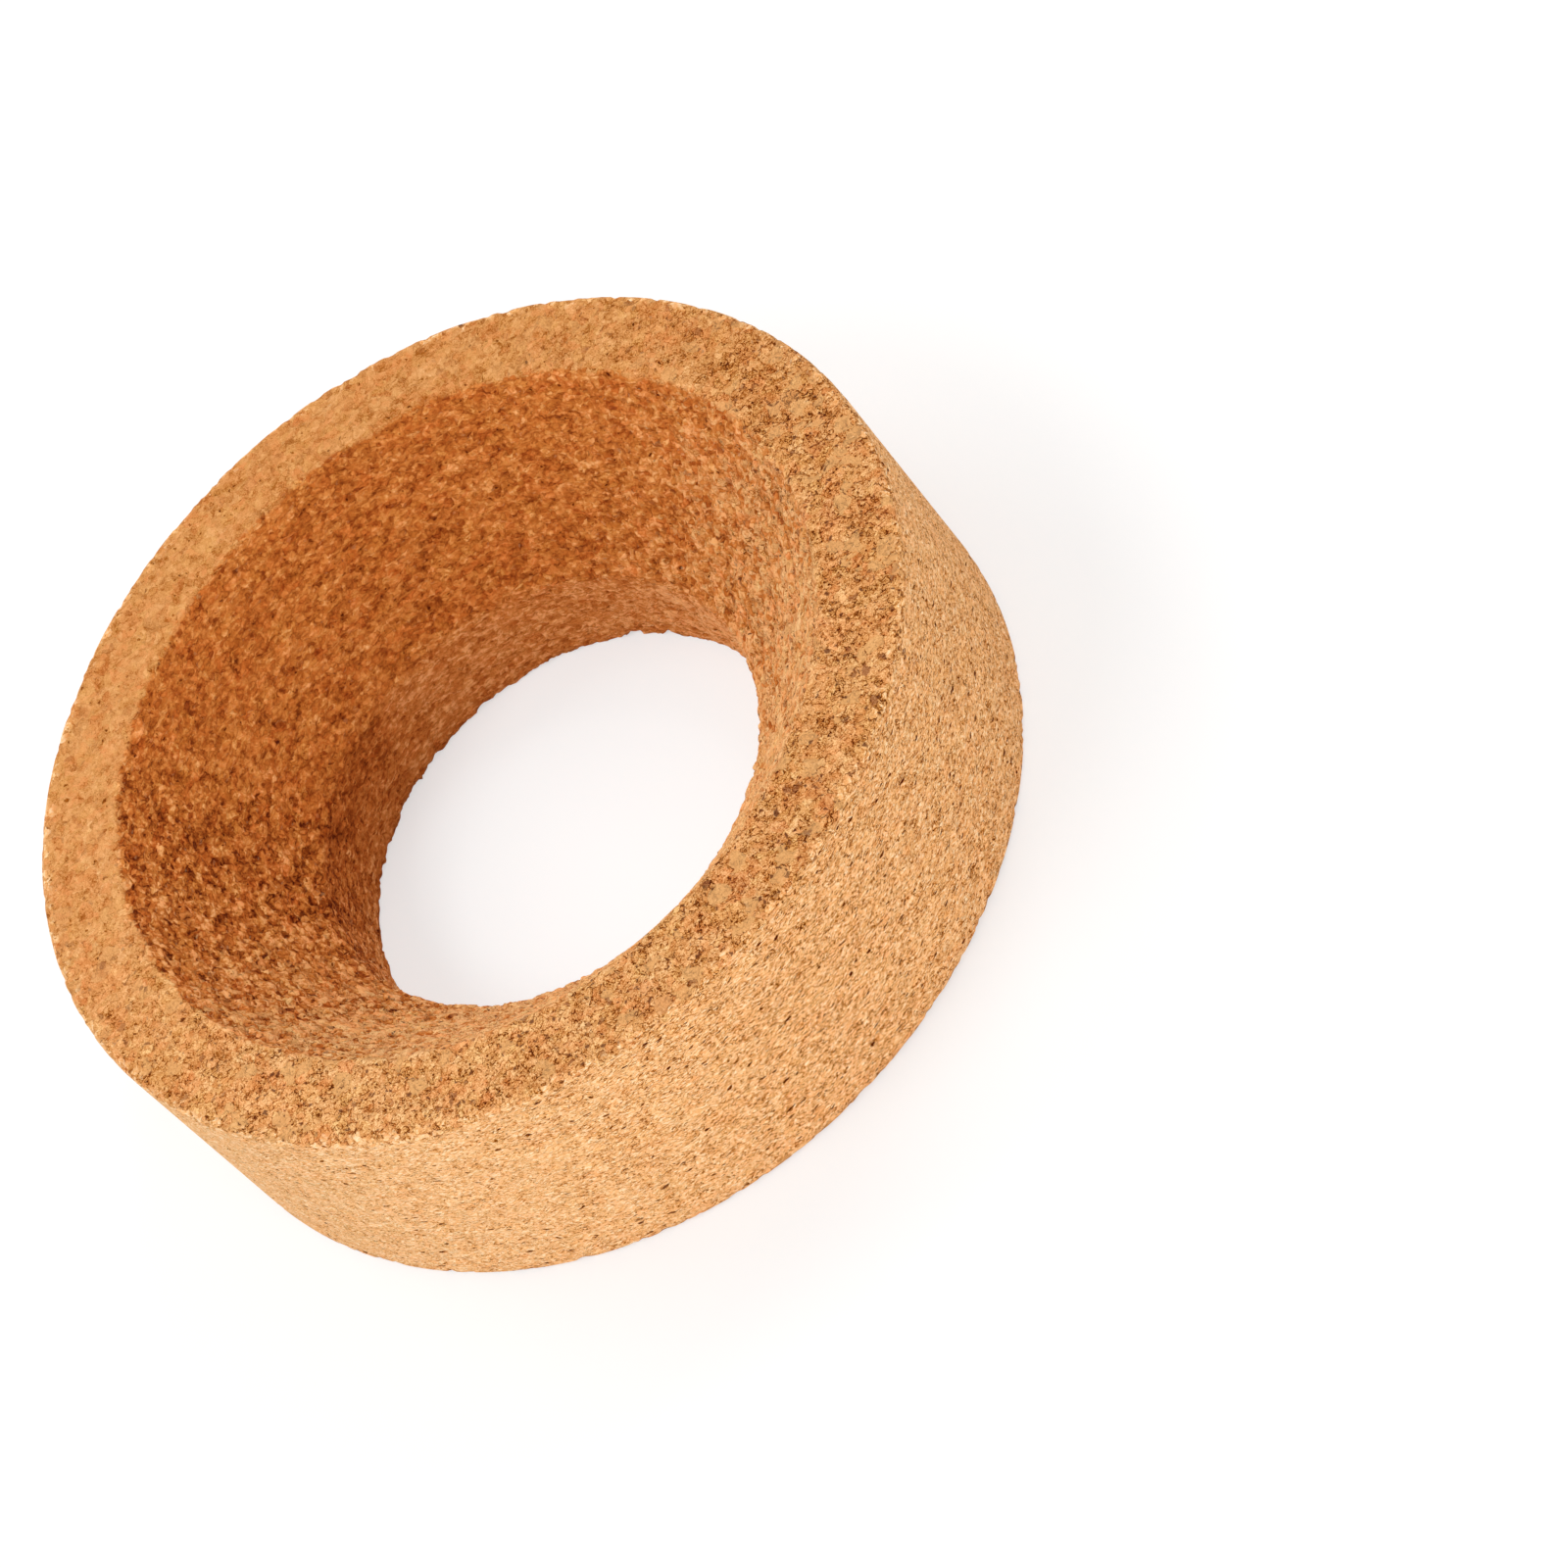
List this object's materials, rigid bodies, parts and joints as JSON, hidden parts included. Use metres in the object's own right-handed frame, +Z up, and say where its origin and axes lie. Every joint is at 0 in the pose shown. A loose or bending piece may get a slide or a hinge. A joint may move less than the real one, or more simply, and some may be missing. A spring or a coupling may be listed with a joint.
{
  "type": "cork ring",
  "caption": "Thick round ring of pressed cork with a conical seat and a straight hole below it, to hold a round-bottomed flask upright.",
  "frame": {"origin": "centre of the bench face, on the ring's axis", "axes": "+Z up along the ring's axis, out of the seat's mouth; X and Y are any two directions square to it"},
  "size_m": [0.11, 0.11, 0.032],
  "materials": {
    "cork": "matte, granular pressed cork, turned and sliced"
  },
  "bodies": {
    "root": {"cork_ring": "cork"}
  },
  "joints": []
}
